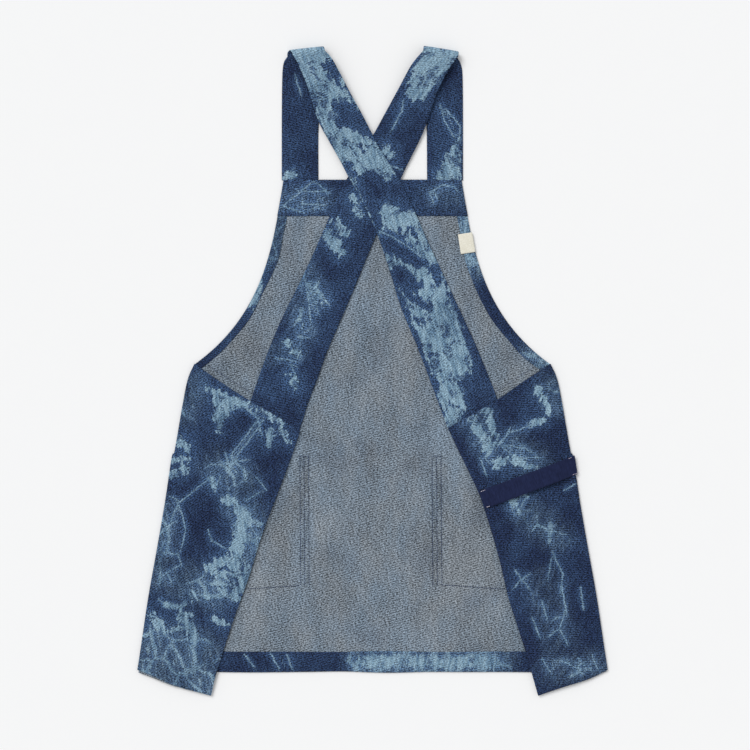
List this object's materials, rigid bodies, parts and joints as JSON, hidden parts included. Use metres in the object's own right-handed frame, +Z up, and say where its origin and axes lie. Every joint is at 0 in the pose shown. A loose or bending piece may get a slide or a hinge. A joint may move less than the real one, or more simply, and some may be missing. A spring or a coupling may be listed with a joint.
{
  "type": "artist smock apron",
  "caption": "Cross-back denim artist's apron lying on its front, with straps over the shoulders, folded-in back wings, patch pockets and a tape tool loop.",
  "frame": {"origin": "centre of the apron's outline on the surface it lies on", "axes": "+X to the right as it lies, +Y towards the shoulder folds, +Z up, out of the back of the apron"},
  "size_m": [0.661, 0.907, 0.016],
  "materials": {
    "indigo_denim": "hand-dyed indigo denim, right side, with bleached veins and patches",
    "denim_wrong_side": "wrong side of the denim, grey-blue twill",
    "navy_tape": "woven navy cotton tape",
    "topstitch_thread": "blue sewing thread",
    "label_cotton": "blank cream cotton label"
  },
  "bodies": {
    "apron_body": {"front_panel": "denim_wrong_side", "top_band": "indigo_denim", "left_armhole_facing": "indigo_denim", "right_armhole_facing": "indigo_denim", "bottom_hem": "indigo_denim", "left_pocket": "indigo_denim", "right_pocket": "indigo_denim", "left_side_fold": "indigo_denim", "right_side_fold": "indigo_denim", "label_tab": "label_cotton", "left_strap_end": "indigo_denim", "right_strap_end": "indigo_denim", "left_lower_back_strap": "indigo_denim", "right_lower_back_strap": "indigo_denim", "band_stitching": "topstitch_thread", "hem_stitching": "topstitch_thread", "left_facing_stitching": "topstitch_thread", "right_facing_stitching": "topstitch_thread", "left_pocket_stitching": "topstitch_thread", "right_pocket_stitching": "topstitch_thread"},
    "shoulder_straps": {"left_front_strap": "indigo_denim", "right_front_strap": "indigo_denim", "left_shoulder_fold": "indigo_denim", "right_shoulder_fold": "indigo_denim", "left_upper_back_strap": "indigo_denim", "right_upper_back_strap": "indigo_denim"},
    "left_back_wing": {"left_wing": "indigo_denim", "left_wing_hem": "indigo_denim", "left_wing_edge": "indigo_denim", "left_wing_stitching": "topstitch_thread"},
    "right_back_wing": {"right_wing": "indigo_denim", "right_wing_hem": "indigo_denim", "right_wing_edge": "indigo_denim", "right_wing_stitching": "topstitch_thread", "tool_loop_tape": "navy_tape", "tool_loop_bartacks": "topstitch_thread"}
  },
  "joints": [
    {"name": "left_wing_lift", "type": "hinge", "parent": "apron_body", "child": "left_back_wing", "pos_m": [-0.281, -0.118, 0.00285], "axis": [-0.1549, -0.9879, 0], "range_deg": [0, 35], "deforming": ["left_side_fold"]},
    {"name": "right_wing_lift", "type": "hinge", "parent": "apron_body", "child": "right_back_wing", "pos_m": [0.281, -0.118, 0.00285], "axis": [-0.1549, 0.9879, 0], "range_deg": [0, 35], "deforming": ["right_side_fold"]},
    {"name": "straps_fold", "type": "hinge", "parent": "apron_body", "child": "shoulder_straps", "pos_m": [0, 0.2874, 0.0072], "axis": [1, 0, 0], "range_deg": [0, 150]}
  ]
}
